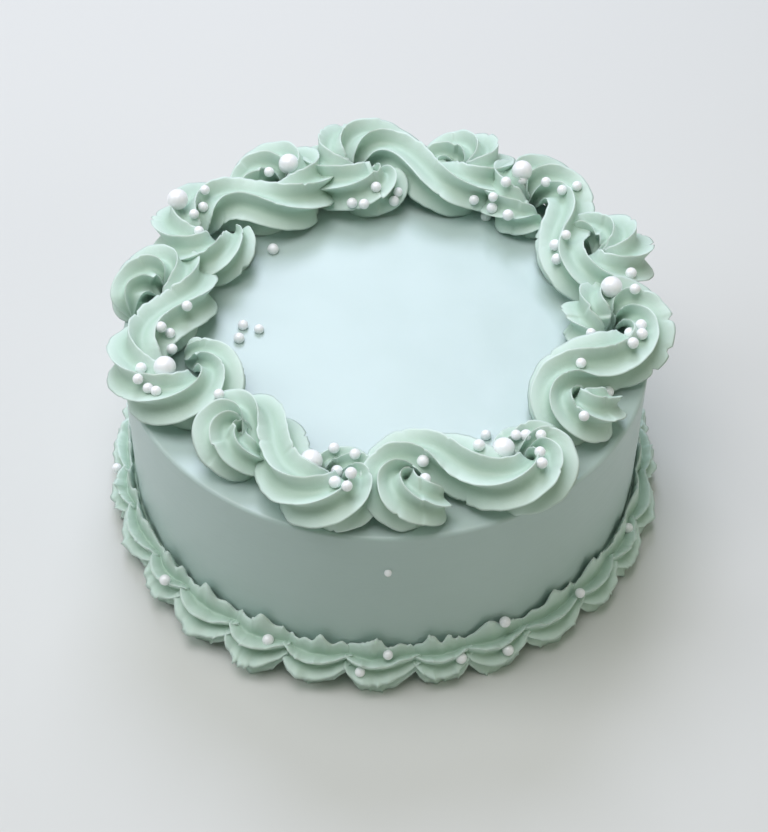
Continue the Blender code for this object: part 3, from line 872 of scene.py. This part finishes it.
def set_camera():
    """The photograph's camera, and colours shown as they are."""
    scene = bpy.context.scene
    lens = bpy.data.cameras.new("photo_camera")
    lens.sensor_width = SENSOR_MM
    lens.lens = FOCAL_PIXELS * SENSOR_MM / PHOTO_HEIGHT
    lens.shift_x = LENS_SHIFT_PIXELS[0] / PHOTO_HEIGHT
    lens.shift_y = LENS_SHIFT_PIXELS[1] / PHOTO_HEIGHT
    camera = bpy.data.objects.new("photo_camera", lens)
    camera.matrix_world = camera_matrix()
    scene.collection.objects.link(camera)
    scene.camera = camera
    scene.view_settings.view_transform = "Standard"


class CAKE_OT_set_stage(bpy.types.Operator):
    """Add the floor, the lights and the camera"""
    bl_idname = "cake.set_stage"
    bl_label = "Set the Stage"

    def execute(self, context):
        set_floor(context.scene.cake_colours)
        set_lights()
        set_camera()
        return {"FINISHED"}


class CAKE_OT_ice_body(bpy.types.Operator):
    """Make the smoothed body of the cake"""
    bl_idname = "cake.ice_body"
    bl_label = "Ice the Body"

    def execute(self, context):
        ice_body(context.scene.cake_sizes, context.scene.cake_colours)
        return {"FINISHED"}


class CAKE_OT_pipe_scrolls(bpy.types.Operator):
    """Pipe the scrolls round the top edge"""
    bl_idname = "cake.pipe_scrolls"
    bl_label = "Pipe the Scrolls"

    def execute(self, context):
        pipe_scrolls(context.scene.cake_sizes, context.scene.cake_colours)
        return {"FINISHED"}


class CAKE_OT_pipe_shells(bpy.types.Operator):
    """Pipe the shell border round the foot"""
    bl_idname = "cake.pipe_shells"
    bl_label = "Pipe the Shells"

    def execute(self, context):
        pipe_shells(context.scene.cake_sizes, context.scene.cake_colours)
        return {"FINISHED"}


class CAKE_OT_set_pearls(bpy.types.Operator):
    """Press the sugar pearls into the icing"""
    bl_idname = "cake.set_pearls"
    bl_label = "Set the Pearls"

    def execute(self, context):
        material = sugar_coat(context.scene.cake_colours)
        set_small_pearls(context.scene.cake_sizes, material)
        set_large_pearls(context.scene.cake_sizes, material)
        return {"FINISHED"}


class CAKE_PT_panel(bpy.types.Panel):
    """Lists the cake's settings and the steps of its making in the sidebar"""
    bl_idname = "CAKE_PT_panel"
    bl_label = "Mint Buttercream Cake"
    bl_space_type = "VIEW_3D"
    bl_region_type = "UI"
    bl_category = "Cake"

    def draw(self, context):
        layout = self.layout
        for group in (context.scene.cake_sizes, context.scene.cake_colours):
            for name in group.__annotations__:
                layout.prop(group, name)
        for operator in OPERATORS:
            layout.operator(operator.bl_idname)


OPERATORS = (CAKE_OT_set_stage, CAKE_OT_ice_body, CAKE_OT_pipe_scrolls, CAKE_OT_pipe_shells,
             CAKE_OT_set_pearls)
CLASSES = (CakeSizes, CakeColours) + OPERATORS + (CAKE_PT_panel,)


def register():
    """Register the classes and attach the settings to the scene."""
    for cls in CLASSES:
        bpy.utils.register_class(cls)
    bpy.types.Scene.cake_sizes = PointerProperty(type=CakeSizes)
    bpy.types.Scene.cake_colours = PointerProperty(type=CakeColours)


def unregister():
    """Take the settings and the classes away again."""
    del bpy.types.Scene.cake_colours
    del bpy.types.Scene.cake_sizes
    for cls in reversed(CLASSES):
        bpy.utils.unregister_class(cls)


def main():
    """Make every piece in order."""
    register()
    bpy.ops.cake.set_stage()
    bpy.ops.cake.ice_body()
    bpy.ops.cake.pipe_scrolls()
    bpy.ops.cake.pipe_shells()
    bpy.ops.cake.set_pearls()


if __name__ == "__main__":
    main()
